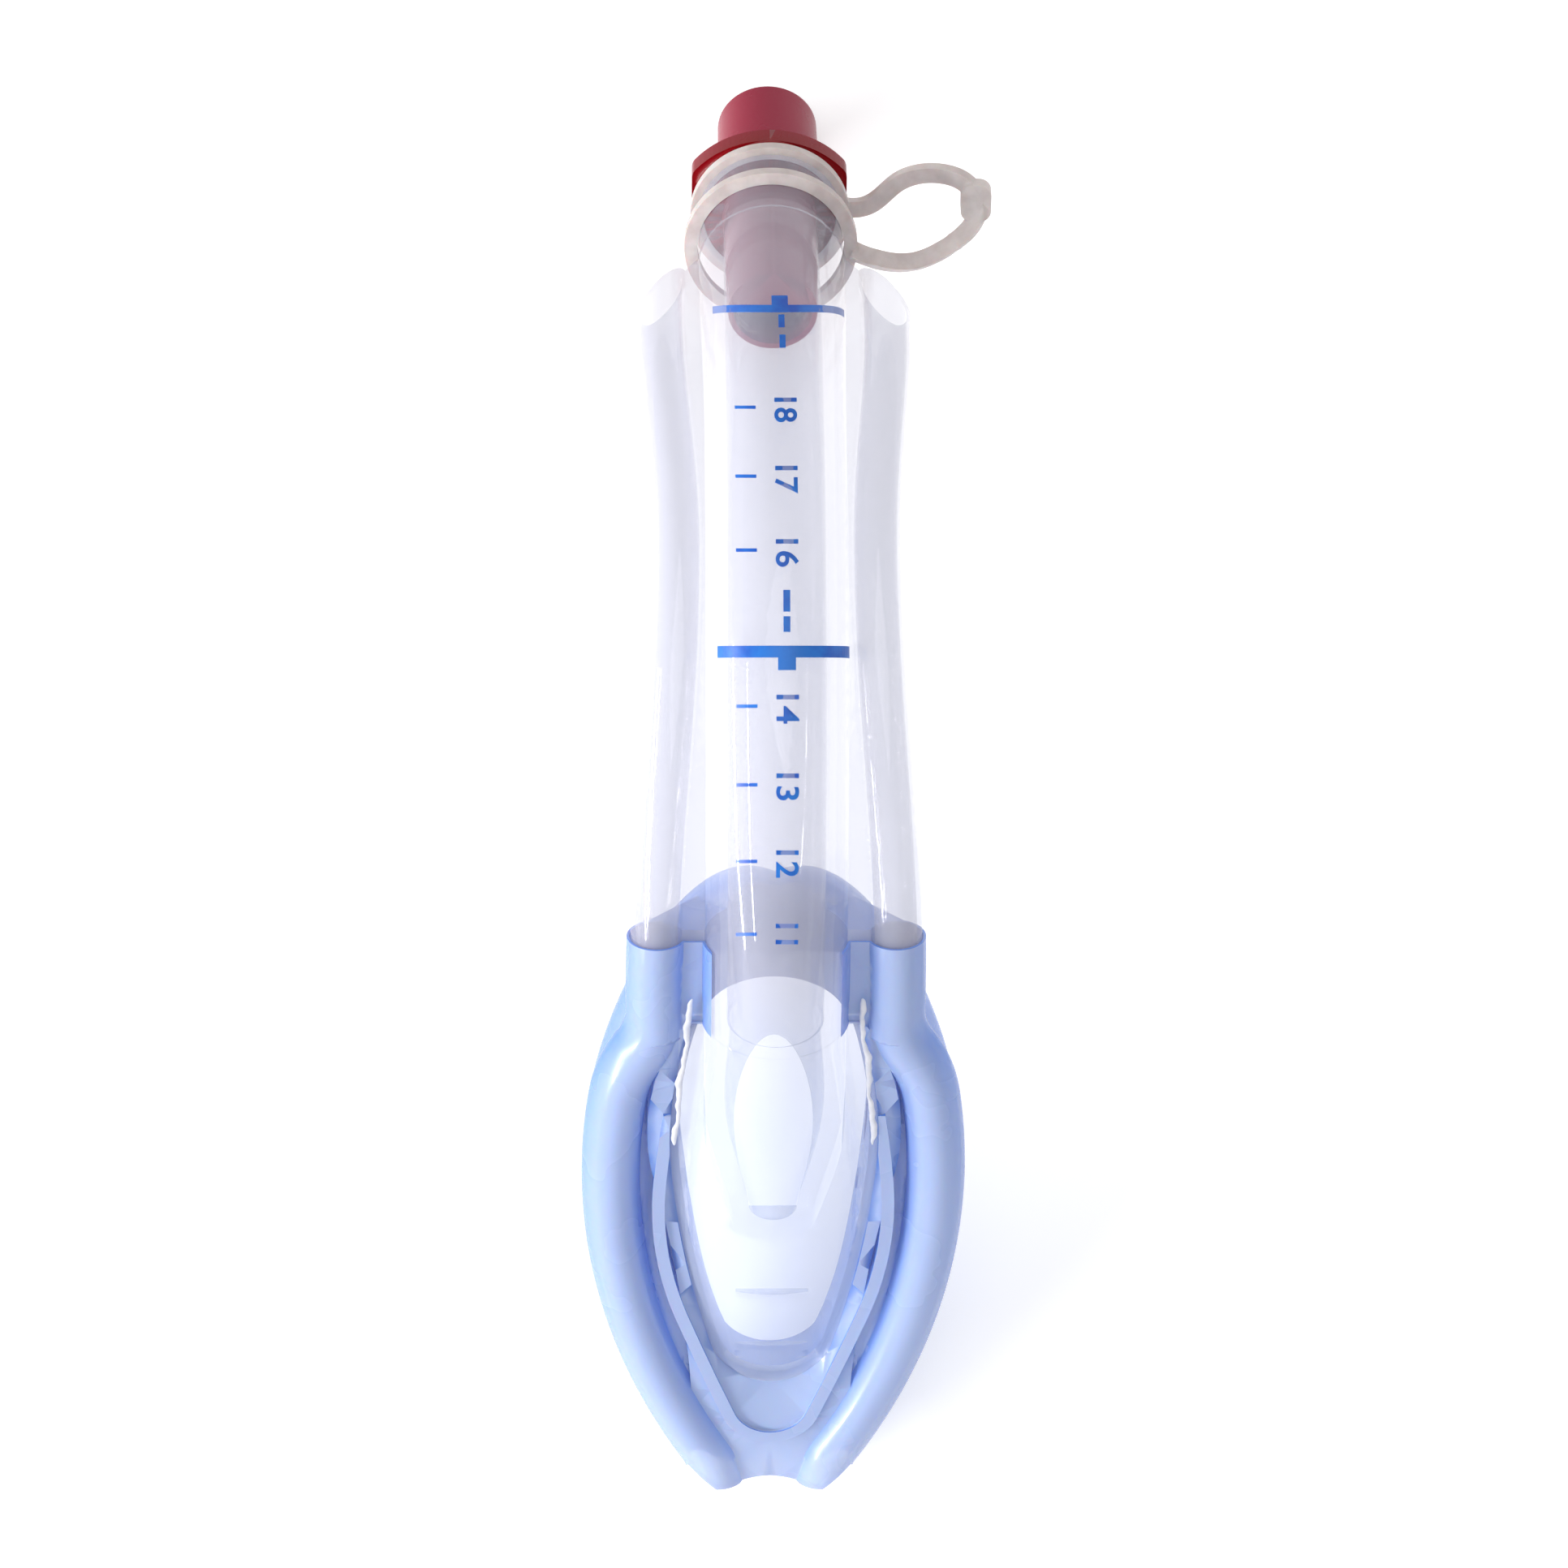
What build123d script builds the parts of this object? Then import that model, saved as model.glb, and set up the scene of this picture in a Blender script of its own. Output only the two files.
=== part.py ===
from build123d import *
import os
from math import cos, pi, radians, sin, sqrt

os.makedirs("parts", exist_ok=True)

# Laryngeal mask airway, adult size, standing as an arch on its mask tip and its connector
# Millimetres, +Z up, +Y from the mask towards the breathing end, origin on the table at the tip

# Spine: a straight breathing end, one bend, then the straight mask
breathing_slope = 55.0  # fall of the breathing end below the level, degrees
mask_slope = 37.0  # fall of the mask below the level on the other side, degrees
bend_radius = 72.0
breathing_run = 50.0  # from the cone's open end to the start of the bend
mask_length = 95.4  # from the end of the bend to the mask's tip

# Connector
cone_end_radius = 7.6
cone_taper = 1 / 40  # on the diameter
cone_length = 17.0
flange_thickness = 3.2
flange_half_width = 11.8
flange_half_depth = 10.0
flange_end_half_depth = 4.2
waist_radius = 10.0
waist_length = 5.8
spigot_length = 27.0
spigot_draft = 0.5
connector_bore_radius = 5.9

# Airway tube
neck_radius = 11.0
neck_length = 15.0
tube_rim_radius = 11.3
tube_radius = 10.6
lumen_radius = 7.25
web_thickness = 3.0
channel_radius = 3.95
channel_lumen_radius = 3.2
channel_spread_top = 16.75  # channel centres from the middle, at the inlets
channel_spread_waist = 14.5  # at the narrowest place of the bend
channel_spread_base = 17.8  # at the mask
inlet_run = 15.2  # length of the slanting inlet, measured along the spine
channel_end = 4.0  # how far the channels reach into the mask

# Roof of the bowl, moulded with the tube
roof_wall = 1.8
brim_bottom = 0.4
brim_top = 2.0
window_top = 5.5
window_bottom = 75.0
window_top_half = 12.4
window_half = 15.2
window_widest = 35.3
window_low_half = 9.2  # half width 7 above the window's bottom
spout_straight = 22.0  # where the outlet walls start to close in
spout_end = 44.0
spout_end_half = 6.0
spout_wall = 2.4
lumen_mouth = 4.0  # where the tube's ventral wall starts to be cut away
ridge_places = (56.8, 68.7)
ridge_half_width = 5.5
ridge_thickness = 1.2
ridge_depth = 1.4

# Mask cuff
bond_gap = 0.1  # glue line between the clear and the blue mouldings
collar_start = 9.0  # how far the collar reaches up the tube
collar_end = 8.0
collar_wall = 0.5
crown_half = 9.6  # half width of the collar's opening over the middle tube
heel_depth = 12.2
heel_half_width = 8.0
cuff_wall = 1.2
pillow_radius = 4.4
drain_radius = 3.2
outlet_place = 6.5  # the drains' outlets at the tip, from the middle
notch_half = 4.6
notch_depth = 1.1
deck_top = 2.3
deck_bottom = -9.0
deck_slope = 2.6  # rise of the deck's underside towards the tip, degrees
rim_top = 3.0
rim_width = 1.9
rim_start = 22.5
shelf_width = 1.2
ridge_loop_half = 18.0
ridge_loop_end = 86.9
vent_radius = 1.6
vent_place = 44.0

# Tether
ring_thickness = 1.6
ring_width = 2.0
ring_gap = 0.1
neck_ring_start = 33.3  # along the spine from the cone's open end
strap_width = 2.6
pad_width = 4.6
pad_length = 6.4

# Spine geometry
cone_base_radius = cone_end_radius + cone_length * cone_taper / 2
flange_start = cone_length
waist_start = flange_start + flange_thickness
mouth = waist_start + waist_length
body_start = mouth + neck_length
bend_length = radians(breathing_slope + mask_slope) * bend_radius
mask_start = breathing_run + bend_length

# The cone's rim touches the table, and so does the tip, whose flat is the origin
tip_setback = mask_length - 3.0
tip_depth = -6.2
bend_centre_z = cone_end_radius * cos(radians(breathing_slope))
bend_centre_z += breathing_run * sin(radians(breathing_slope))
bend_centre_z -= bend_radius * cos(radians(breathing_slope))
bend_centre_y = bend_radius * sin(radians(mask_slope))
bend_centre_y += tip_setback * cos(radians(mask_slope)) + tip_depth * sin(radians(mask_slope))
bend_centre = Vector(0, bend_centre_y, bend_centre_z)


def spine_plane(along):
    """Plane square to the spine, its z towards the tip and its y on the dorsal side."""
    bent = min(max(along - breathing_run, 0.0), bend_length)
    slope = radians(breathing_slope) - bent / bend_radius
    dorsal = Vector(0, sin(slope), cos(slope))
    ahead = Vector(0, -cos(slope), sin(slope))
    place = bend_centre + dorsal * bend_radius + ahead * (along - breathing_run - bent)
    return Plane(origin=place, x_dir=(1, 0, 0), z_dir=ahead)


def mask_plane(along):
    """Plane square to the mask's axis, measured from the end of the bend."""
    return spine_plane(mask_start + along)


def plan_plane(along, height=0.0):
    """Plane of the mask's outline seen from its dorsal side; its y runs back to the tube."""
    square = spine_plane(along)
    return Plane(origin=square.origin + square.y_dir * height, x_dir=(1, 0, 0), z_dir=square.y_dir)


mask_plan = plan_plane(mask_start)
mask_dorsal = mask_plan.z_dir


def mask_point(across, along, height=0.0):
    """Point of the mask from its place across, along its axis and above its mid-plane."""
    return mask_plan.from_local_coords(Vector(across, -along, height))


def blend3(place, places, values):
    """Smooth curve through three values at three places."""
    (p, q, r), (u, v, w) = places, values
    first = u * (place - q) * (place - r) / ((p - q) * (p - r))
    second = v * (place - p) * (place - r) / ((q - p) * (q - r))
    third = w * (place - p) * (place - q) / ((r - p) * (r - q))
    return first + second + third


# Connector: a 15 mm cone, a barrel-shaped flange, a waist for the tether and a spigot
with BuildPart() as connector:
    with BuildSketch(spine_plane(0)):
        Circle(cone_end_radius)
    with BuildSketch(spine_plane(cone_length)):
        Circle(cone_base_radius)
    loft()
    with BuildSketch(spine_plane(flange_start)) as flange_face:
        with BuildLine():
            ThreePointArc(
                (-flange_half_width, flange_end_half_depth),
                (0, flange_half_depth),
                (flange_half_width, flange_end_half_depth),
            )
            Line((flange_half_width, flange_end_half_depth), (flange_half_width, -flange_end_half_depth))
            ThreePointArc(
                (flange_half_width, -flange_end_half_depth),
                (0, -flange_half_depth),
                (-flange_half_width, -flange_end_half_depth),
            )
            Line((-flange_half_width, -flange_end_half_depth), (-flange_half_width, flange_end_half_depth))
        make_face()
        fillet(flange_face.vertices(), radius=2.2)
    extrude(amount=flange_thickness)
    with BuildSketch(spine_plane(waist_start)):
        Circle(waist_radius)
    extrude(amount=waist_length)
    with BuildSketch(spine_plane(mouth)):
        Circle(lumen_radius - 0.05)
    with BuildSketch(spine_plane(mouth + spigot_length)):
        Circle(lumen_radius - 0.05 - spigot_draft)
    loft()
    with BuildSketch(spine_plane(0)):
        Circle(connector_bore_radius)
    extrude(amount=mouth + spigot_length, mode=Mode.SUBTRACT)


# Airway tube: three lumens side by side, with the bowl's roof moulded on
def channel_spread(along):
    """Half the distance between the channels, waisted in the bend."""
    bend_share = (along - body_start - inlet_run) / (mask_start - body_start - inlet_run)
    share = min(max(bend_share, 0.0), 1.0)
    top = channel_spread_top - channel_spread_waist
    base = channel_spread_base - channel_spread_waist
    middle = 0.38
    if share < middle:
        return channel_spread_waist + top * (0.5 + 0.5 * cos(pi * share / middle))
    return channel_spread_waist + base * (0.5 - 0.5 * cos(pi * (share - middle) / (1 - middle)))


def centre_radius(along):
    """Outside radius of the middle tube, which eases in from its rim."""
    share = min(max((along - body_start) / 30.0, 0.0), 1.0)
    return tube_rim_radius + (tube_radius - tube_rim_radius) * share


def body_outline(along, grow=0.0):
    """Face of the three-lumen section at one place of the spine."""
    spread = channel_spread(along)
    middle = centre_radius(along) + grow
    side = channel_radius + grow
    half_web = web_thickness / 2 + grow
    near = sqrt(middle**2 - half_web**2)
    far = spread - sqrt(side**2 - half_web**2)
    with BuildSketch(spine_plane(along), mode=Mode.PRIVATE) as outline:
        with BuildLine():
            ThreePointArc((-near, half_web), (0, middle), (near, half_web))
            Line((near, half_web), (far, half_web))
            ThreePointArc((far, half_web), (spread + side, 0), (far, -half_web))
            Line((far, -half_web), (near, -half_web))
            ThreePointArc((near, -half_web), (0, -middle), (-near, -half_web))
            Line((-near, -half_web), (-far, -half_web))
            ThreePointArc((-far, -half_web), (-spread - side, 0), (-far, half_web))
            Line((-far, half_web), (-near, half_web))
        make_face()
    return outline.sketch


body_end = mask_start + channel_end
bend_steps = 9
body_places = [body_start, breathing_run]
body_places += [breathing_run + bend_length * i / bend_steps for i in range(1, bend_steps + 1)]
body_places += [body_end]

with BuildPart() as body:
    loft([body_outline(place) for place in body_places])

with BuildPart() as body_envelope:
    loft([body_outline(place, bond_gap) for place in body_places[:-1] + [body_end + bond_gap]])
    with BuildSketch(mask_plane(channel_end + bond_gap)):
        Circle(tube_radius + bond_gap)
    extrude(amount=spout_straight)


def dome_profile(along, top, radius, sink):
    """Face of the roof's section: an arch on straight sides that reach down into the bowl."""
    half = sqrt(radius**2 - (radius - top + brim_bottom) ** 2)
    with BuildSketch(mask_plane(along), mode=Mode.PRIVATE) as profile:
        with BuildLine():
            ThreePointArc((-half, brim_bottom), (0, top), (half, brim_bottom))
            Polyline((half, brim_bottom), (half, -sink), (-half, -sink), (-half, brim_bottom))
        make_face()
    return profile.sketch


dome_sections = (
    (channel_end, tube_radius + 0.1, tube_radius + 0.1),
    (12.0, 10.5, 11.9),
    (22.0, 9.9, 14.0),
    (36.0, 8.6, 17.3),
    (56.0, 5.6, 20.5),
    (80.0, 2.4, 22.0),
)


def bowed_outline(points, inset=0.0, height=0.0):
    """Face laid on the mask: a round end, bowed sides and a straight top.

    The points are those of its right half, from the end on the middle line up to the top corner.
    """
    with BuildSketch(plan_plane(mask_start, height), mode=Mode.PRIVATE) as outline:
        with BuildLine() as edge:
            way = (1, 0)
            for (across, along), (next_across, next_along) in zip(points, points[1:]):
                arc = TangentArc((across, -along), (next_across, -next_along), tangent=way)
                way = arc % 1
            Line(arc @ 1, (0, -points[-1][1]))
            mirror(edge.line, about=Plane.YZ)
        make_face()
        if inset:
            offset(amount=-inset, kind=Kind.INTERSECTION)
    return outline.sketch


window_points = [
    (0, window_bottom),
    (window_low_half, window_bottom - 7.0),
    (window_half, window_widest),
    (window_top_half, window_top),
]


with BuildPart() as dome:
    loft([dome_profile(place, top, radius, 14.0) for place, top, radius in dome_sections])

with BuildPart() as dome_hollow:
    loft(
        [
            dome_profile(place, top - roof_wall, radius - roof_wall, 2.0)
            for place, top, radius in dome_sections
        ]
    )

with BuildPart() as roof:
    add(dome.part)
    extrude(bowed_outline(window_points), amount=20, mode=Mode.INTERSECT)
    extrude(bowed_outline(window_points), amount=brim_top)
    extrude(bowed_outline(window_points), amount=brim_bottom, mode=Mode.SUBTRACT)
    add(dome_hollow.part, mode=Mode.SUBTRACT)

with BuildPart() as spout:
    with BuildSketch(mask_plane(channel_end)):
        Circle(tube_radius)
    extrude(amount=spout_end - channel_end)
    with BuildSketch(plan_plane(mask_start, -14)):
        with BuildLine() as spout_edge:
            Line((0, 0), (tube_radius + 0.2, 0))
            Line((tube_radius + 0.2, 0), (tube_radius + 0.2, -spout_straight))
            Spline(
                (tube_radius + 0.2, -spout_straight),
                (spout_end_half, -spout_end + 1.5),
                tangents=[(0, -1), (-0.25, -1)],
            )
            ThreePointArc(
                (spout_end_half, -spout_end + 1.5), (3.2, -spout_end + 0.4), (0, -spout_end)
            )
            mirror(spout_edge.line, about=Plane.YZ)
        make_face()
    extrude(amount=30, mode=Mode.INTERSECT)
    add(dome.part, mode=Mode.INTERSECT)


# The airway's end narrows to a slot inside the bowl, under the roof
def lumen_profile(along, half, top, bottom):
    """Face of the airway's opening inside the bowl, round above and open below."""
    with BuildSketch(mask_plane(along), mode=Mode.PRIVATE) as profile:
        with BuildLine():
            ThreePointArc((-half, 0), (0, top), (half, 0))
            ThreePointArc((half, 0), (0, bottom), (-half, 0))
        make_face()
    return profile.sketch


with BuildPart() as lumen_end:
    loft(
        [
            lumen_profile(2.0, lumen_radius, lumen_radius, -lumen_radius),
            lumen_profile(14.0, lumen_radius, lumen_radius, -lumen_radius),
            lumen_profile(26.0, tube_radius - spout_wall - 1.1, 6.9, -7.0),
            lumen_profile(35.0, spout_end_half - spout_wall + 1.5, 5.5, -6.0),
            lumen_profile(spout_end - spout_wall, spout_end_half - spout_wall, 4.2, -4.5),
        ]
    )

# Channel bores, straight at the inlets and then following the spread
channel_places = [body_start - 4] + body_places[1:] + [body_end + 1]


def channel_profile(along, radius, side):
    """Round face of one channel's bore."""
    with BuildSketch(spine_plane(along), mode=Mode.PRIVATE) as profile:
        with Locations((side * channel_spread(along), 0)):
            Circle(radius)
    return profile.sketch


with BuildPart() as channel_bores:
    for side in (-1, 1):
        loft([channel_profile(place, channel_lumen_radius, side) for place in channel_places])

with BuildPart() as lumen:
    with BuildSketch(spine_plane(mouth)):
        Circle(lumen_radius)
    with BuildLine() as lumen_line:
        run = Line(spine_plane(mouth).origin, spine_plane(breathing_run).origin)
        bend = TangentArc(run @ 1, mask_plan.origin, tangent=run % 1)
        Line(bend @ 1, mask_plane(6).origin)
    sweep(path=lumen_line.line)
    add(lumen_end.part)

# Slanting cuts that open the inlets at the shoulders
shoulder = plan_plane(body_start)
with BuildPart() as shoulder_cut:
    with BuildSketch(shoulder):
        with BuildLine() as shoulder_edge:
            corner = channel_spread_top + channel_radius
            Polyline(
                (corner + 1, -inlet_run - 1),
                (corner + 9, -inlet_run - 1),
                (corner + 9, 4),
                (tube_rim_radius, 4),
                (tube_rim_radius, 0),
                (corner - 2.2, -inlet_run + 3.6),
            )
            ThreePointArc(
                (corner - 2.2, -inlet_run + 3.6),
                (corner - 0.4, -inlet_run + 1.2),
                (corner + 1, -inlet_run - 1),
            )
        make_face()
    extrude(amount=12, both=True)
    mirror(about=Plane.YZ)

# The tube's ventral wall ends in a slope, which opens the airway into the bowl
with BuildPart() as mouth_cut:
    with BuildSketch(Plane.YZ):
        with BuildLine():
            Polyline(
                (mask_point(0, lumen_mouth, -16).Y, mask_point(0, lumen_mouth, -16).Z),
                (mask_point(0, lumen_mouth, -tube_radius).Y, mask_point(0, lumen_mouth, -tube_radius).Z),
                (mask_point(0, spout_end, 1.5).Y, mask_point(0, spout_end, 1.5).Z),
                (mask_point(0, spout_end + 8, -16).Y, mask_point(0, spout_end + 8, -16).Z),
                close=True,
            )
        make_face()
    extrude(amount=16, both=True)

with BuildPart() as airway_tube:
    add(body.part)
    with BuildSketch(spine_plane(mouth)):
        Circle(neck_radius)
    extrude(amount=neck_length)
    add(shoulder_cut.part, mode=Mode.SUBTRACT)
    add(spout.part)
    add(lumen.part, mode=Mode.SUBTRACT)
    add(channel_bores.part, mode=Mode.SUBTRACT)
    add(mouth_cut.part, mode=Mode.SUBTRACT)
    add(roof.part)
    for place in ridge_places:
        with BuildSketch(mask_plane(place)):
            share = (place - 36.0) / 44.0
            crown = 8.6 - (8.6 - 2.4) * share - roof_wall
            with Locations((0, crown - ridge_depth / 2 + 0.2)):
                Rectangle(2 * ridge_half_width, ridge_depth + 1.0)
        extrude(amount=ridge_thickness)


# Cuff: a soft hollow ring round the bowl, thick at the heel and thinner at the tip
def closed_outline(right):
    """Smooth closed curve through points of its right half, from heel to tip, and their mirror."""
    left = [(-across, along) for across, along in right[-2:0:-1]]
    with BuildLine(mode=Mode.PRIVATE) as outline:
        Spline(right + left, periodic=True)
    return outline.edge()


heel_outer = -10.0
heel_inner = 9.0
tip_inner = 79.5
outer_points = [
    (0, heel_outer), (12.0, -7.5), (19.8, 3.5), (24.4, 14.0), (28.5, 35.0),
    (26.6, 60.0), (20.8, 78.0), (11.8, 90.5), (0, mask_length),
]
inner_points = [(0, heel_inner), (8.0, 15.0), (11.6, 36.0), (8.8, 64.0), (0, tip_inner)]
outer_edge = closed_outline(outer_points)
inner_edge = closed_outline(inner_points)
ring_steps = 11
ring_places = (0.0, 36.0, 88.0)
ring_heights = (-13.0, -7.6, -4.3)
ring_depths = (5.2, 6.2, 4.5)
air_drops = (1.6, 1.1, 1.2)


def ring_section(step, wall=0.0):
    """Cushion-shaped face of the ring on the chord between its two outlines."""
    outer, inner = outer_edge @ (step / ring_steps / 2), inner_edge @ (step / ring_steps / 2)
    if step == ring_steps:
        outer, inner = Vector(0, mask_length), Vector(0, tip_inner)
    along = (outer.Y + inner.Y) / 2
    drop = blend3(along, ring_places, air_drops) if wall else 0.0
    height = blend3(along, ring_places, ring_heights) - drop
    deep = blend3(along, ring_places, ring_depths) - wall - drop
    half = (outer - inner).length / 2 - (2 * wall if wall else 0.0)
    flat = half - 1.15 * deep
    crown = 1.08 * deep
    out = mask_point(outer.X - inner.X, outer.Y - inner.Y) - mask_plan.origin
    middle = mask_point((outer.X + inner.X) / 2, along, height)
    across = Plane(origin=middle, x_dir=out, z_dir=out.cross(mask_dorsal))
    with BuildSketch(across, mode=Mode.PRIVATE) as section:
        with BuildLine():
            ThreePointArc((-flat, deep), (0, crown), (flat, deep))
            ThreePointArc((flat, deep), (half, 0), (flat, -deep))
            ThreePointArc((flat, -deep), (0, -crown), (-flat, -deep))
            ThreePointArc((-flat, -deep), (-half, 0), (-flat, deep))
        make_face()
    return section.sketch


with BuildPart() as cuff_ring:
    loft([ring_section(step) for step in range(ring_steps + 1)])
    mirror(about=Plane.YZ)

with BuildPart() as cuff_air:
    loft([ring_section(step, cuff_wall) for step in range(ring_steps + 1)])
    mirror(about=Plane.YZ)

# Pillows: the drains' thick outer tubes, from the collar round to the tip
pillow_start = channel_end + bond_gap
with BuildLine(mask_plan) as drain_line:
    outward = JernArc((channel_spread_base, -pillow_start), (0, -1), 14.0, 33)
    back = JernArc(outward @ 1, outward % 1, 22.0, -25)
    inward = JernArc(back @ 1, back % 1, 107.0, -38.5)
    straighter = JernArc(inward @ 1, inward % 1, 8.0, 17)
    Line(straighter @ 1, straighter @ 1 + (straighter % 1) * 9)


def drain_bar(radius):
    """Round bar along the drains' centre lines, on both sides."""
    line = drain_line.line
    with BuildPart() as bar:
        with BuildSketch(Plane(origin=line @ 0, x_dir=mask_dorsal, z_dir=line % 0)):
            Circle(radius)
        sweep(path=line)
        mirror(about=Plane.YZ)
    return bar.part


pillows = drain_bar(pillow_radius)
drains = drain_bar(drain_radius)


# Collar: wraps the tube's base and fills the heel below it
def heel_face(along):
    """Face of the heel's filling, from the channels down to the flat underside."""
    wide = channel_spread_base + 1.0
    low = -channel_radius - collar_wall
    with BuildSketch(spine_plane(along), mode=Mode.PRIVATE) as face:
        Polygon(
            (-wide, 0), (-wide, low), (-heel_half_width - 3, -heel_depth),
            (heel_half_width + 3, -heel_depth), (wide, low), (wide, 0),
            align=None,
        )
    return face.sketch


collar_places = [mask_start + place for place in (-collar_start, -collar_start / 2, 0, collar_end)]
with BuildPart() as collar:
    loft([body_outline(place, collar_wall) for place in collar_places])
    loft([heel_face(place) for place in collar_places])

# Deck: the cuff's dorsal face between the pillows and the window, with a raised rim
deck_points = [(0, mask_length + 1.0), (9.0, 91.0), (12.0, 80.0), (ridge_loop_half, 35.0), (13.0, 5.0)]
rim_points = [(0, ridge_loop_end), (7.2, 82.0), (14.6, 62.0), (ridge_loop_half, 35.0), (14.0, 8.0)]

with BuildPart() as deck:
    extrude(bowed_outline(deck_points, height=deck_bottom), amount=deck_top - deck_bottom)
    slope = Plane(origin=mask_point(0, 0, deck_bottom), x_dir=(1, 0, 0), z_dir=mask_dorsal)
    split(bisect_by=slope.rotated((-deck_slope, 0, 0)), keep=Keep.TOP)

with BuildPart() as deck_rim:
    extrude(bowed_outline(rim_points), amount=rim_top)
    extrude(bowed_outline(rim_points, rim_width, -1), amount=rim_top + 2, mode=Mode.SUBTRACT)
    with BuildSketch(plan_plane(mask_start, -1)):
        with Locations((0, 30 - rim_start)):
            Rectangle(60, 60)
    extrude(amount=rim_top + 2, mode=Mode.SUBTRACT)

with BuildPart() as window_cut:
    extrude(bowed_outline(window_points, shelf_width), amount=20, both=True)
    extrude(bowed_outline(window_points, -bond_gap, brim_bottom - bond_gap), amount=20)


# Trims at the tip: a square end with a shallow notch, slanting outlets and the flat on the table
with BuildPart() as tip_cut:
    with BuildSketch(plan_plane(mask_start, -16)):
        with BuildLine() as tip_edge:
            notch = ThreePointArc(
                (0, -mask_length + notch_depth), (2.6, -mask_length + 0.7), (notch_half, -mask_length)
            )
            Polyline(
                notch @ 1,
                (outlet_place + 1.7, -mask_length),
                (outlet_place + 6.0, -mask_length + 3.8),
                (outlet_place + 9.0, -mask_length - 8),
                (0, -mask_length - 8),
            )
            mirror(tip_edge.line, about=Plane.YZ)
        make_face()
    extrude(amount=30)

with BuildPart() as mask_cuff:
    add(cuff_ring.part)
    add(collar.part)
    add(pillows)
    add(deck.part)
    add(deck_rim.part)
    add(window_cut.part, mode=Mode.SUBTRACT)
    add(body_envelope.part, mode=Mode.SUBTRACT)
    add(cuff_air.part, mode=Mode.SUBTRACT)
    add(drains, mode=Mode.SUBTRACT)
    with BuildSketch(plan_plane(mask_start, web_thickness)):
        with Locations((0, collar_start / 2)):
            Rectangle(2 * crown_half, collar_start + 2 * channel_end + 8)
    extrude(amount=20, mode=Mode.SUBTRACT)
    with BuildSketch(Plane.YZ):
        vent = mask_point(0, vent_place, -8.6)
        with Locations((vent.Y, vent.Z)):
            Circle(vent_radius)
    extrude(amount=15, both=True, mode=Mode.SUBTRACT)
    add(tip_cut.part, mode=Mode.SUBTRACT)
    split(bisect_by=Plane.XY, keep=Keep.TOP)


# Tether: two flat rings joined by a looped strap with a finger pad, moulded in one piece
def ring_point(across, dorsal, along):
    """Point by its place across, above and along the straight breathing end."""
    return spine_plane(along).from_local_coords(Vector(across, dorsal, 0))


waist_ring_start = mouth - ring_gap - ring_thickness
strap_points = [
    ring_point(waist_radius + 1.2, 1.2, waist_ring_start + 0.8),
    ring_point(15.6, 2.2, waist_ring_start + 1.2),
    ring_point(19.3, 6.3, waist_ring_start + 2.0),
    ring_point(25.4, 8.6, waist_ring_start + 3.2),
    ring_point(30.2, 6.9, waist_ring_start + 4.4),
    ring_point(31.3, 2.8, waist_ring_start + 5.4),
    ring_point(28.0, -1.4, waist_ring_start + 6.6),
    ring_point(21.6, -4.2, waist_ring_start + 7.9),
    ring_point(15.9, -2.6, neck_ring_start + 0.7),
    ring_point(neck_radius + 1.3, -1.0, neck_ring_start + 0.8),
]


with BuildPart() as tether:
    for start, radius in ((waist_ring_start, waist_radius), (neck_ring_start, neck_radius)):
        with BuildSketch(spine_plane(start)):
            Circle(radius + ring_gap + ring_width)
            Circle(radius + ring_gap, mode=Mode.SUBTRACT)
        extrude(amount=ring_thickness)
    with BuildLine() as strap_line:
        Spline(*strap_points)
    start_plane = Plane(
        origin=strap_line.line @ 0, x_dir=spine_plane(0).z_dir, z_dir=strap_line.line % 0
    )
    with BuildSketch(start_plane):
        Rectangle(ring_thickness, strap_width)
    sweep(path=strap_line.line)
    with BuildSketch(spine_plane(waist_ring_start + 3.9)):
        with Locations((31.1, 4.9)):
            RectangleRounded(pad_width, pad_length, 1.9)
    extrude(amount=2.2)
    for start, radius in ((waist_ring_start, waist_radius), (neck_ring_start, neck_radius)):
        with BuildSketch(spine_plane(start - 2)):
            Circle(radius + ring_gap)
        extrude(amount=ring_thickness + 4, mode=Mode.SUBTRACT)

pieces = {
    "connector": connector.part,
    "tether": tether.part,
    "airway_tube": airway_tube.part,
    "mask_cuff": mask_cuff.part,
}
for name, shape in pieces.items():
    shape.label = name
    export_step(shape, f"parts/{name}.step")
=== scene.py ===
"""Dresses the laryngeal mask airway: clear tube, blue cuff, red connector and natural tether."""

import logging
import math
from collections.abc import Callable
from dataclasses import dataclass, field
from enum import Enum

import bmesh
import bpy
import numpy as np
from mathutils import Matrix, Vector


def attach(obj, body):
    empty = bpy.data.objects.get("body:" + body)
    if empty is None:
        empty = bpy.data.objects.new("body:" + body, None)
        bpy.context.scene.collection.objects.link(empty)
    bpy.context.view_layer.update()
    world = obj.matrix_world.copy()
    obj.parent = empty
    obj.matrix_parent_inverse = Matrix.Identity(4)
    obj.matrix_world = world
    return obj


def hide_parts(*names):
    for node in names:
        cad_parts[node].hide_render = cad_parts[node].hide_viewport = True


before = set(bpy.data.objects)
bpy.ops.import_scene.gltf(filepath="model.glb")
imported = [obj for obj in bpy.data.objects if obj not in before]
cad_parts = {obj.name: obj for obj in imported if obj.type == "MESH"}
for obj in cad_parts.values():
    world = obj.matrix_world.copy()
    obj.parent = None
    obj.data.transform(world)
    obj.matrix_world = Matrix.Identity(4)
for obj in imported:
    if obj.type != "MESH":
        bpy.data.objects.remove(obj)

MM = 0.001
MERGE_DISTANCE = 1e-6
log = logging.getLogger("laryngeal_mask")


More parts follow.
